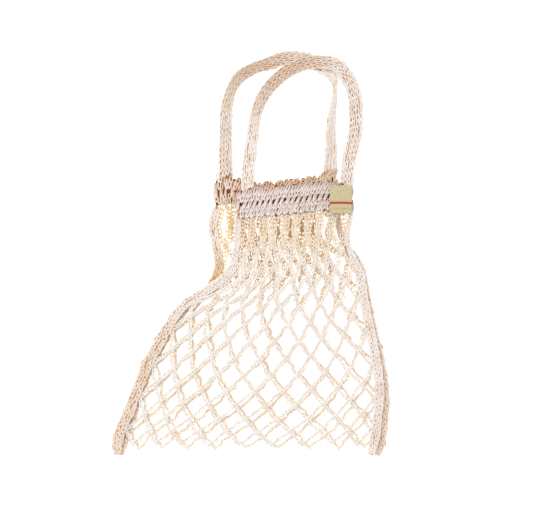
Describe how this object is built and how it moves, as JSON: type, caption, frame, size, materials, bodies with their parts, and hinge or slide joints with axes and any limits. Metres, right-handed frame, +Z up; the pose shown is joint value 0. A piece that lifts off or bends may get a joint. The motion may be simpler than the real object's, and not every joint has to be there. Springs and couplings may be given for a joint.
{
  "type": "string shopping bag",
  "caption": "Child's string shopping bag of crocheted cotton: open diamond net, dense mouth bands and side edgings, two strap handles and a ribbon label, lying flat.",
  "frame": {"origin": "middle of the bag's outline, on the floor it lies on", "axes": "+X to the right, +Y from the bag's bottom towards its handles, +Z up from the floor, the back panel below and the front panel above"},
  "size_m": [0.2626, 0.3844, 0.0203],
  "materials": {
    "net_yarn": "crocheted natural cotton string, matt, off-white",
    "band_yarn": "dense crocheted natural cotton yarn, matt, off-white",
    "handle_yarn": "crocheted natural cotton strap, matt, off-white",
    "edging_yarn": "dense crocheted natural cotton yarn, matt, off-white",
    "label_tape": "woven tape, matt, pale olive cream"
  },
  "bodies": {
    "root": {"front_net": "net_yarn", "back_net": "net_yarn", "front_band": "band_yarn", "back_band": "band_yarn", "front_handle": "handle_yarn", "back_handle": "handle_yarn", "left_edging_front": "edging_yarn", "left_edging_back": "edging_yarn", "right_edging_front": "edging_yarn", "right_edging_back": "edging_yarn", "label": "label_tape"}
  },
  "joints": []
}
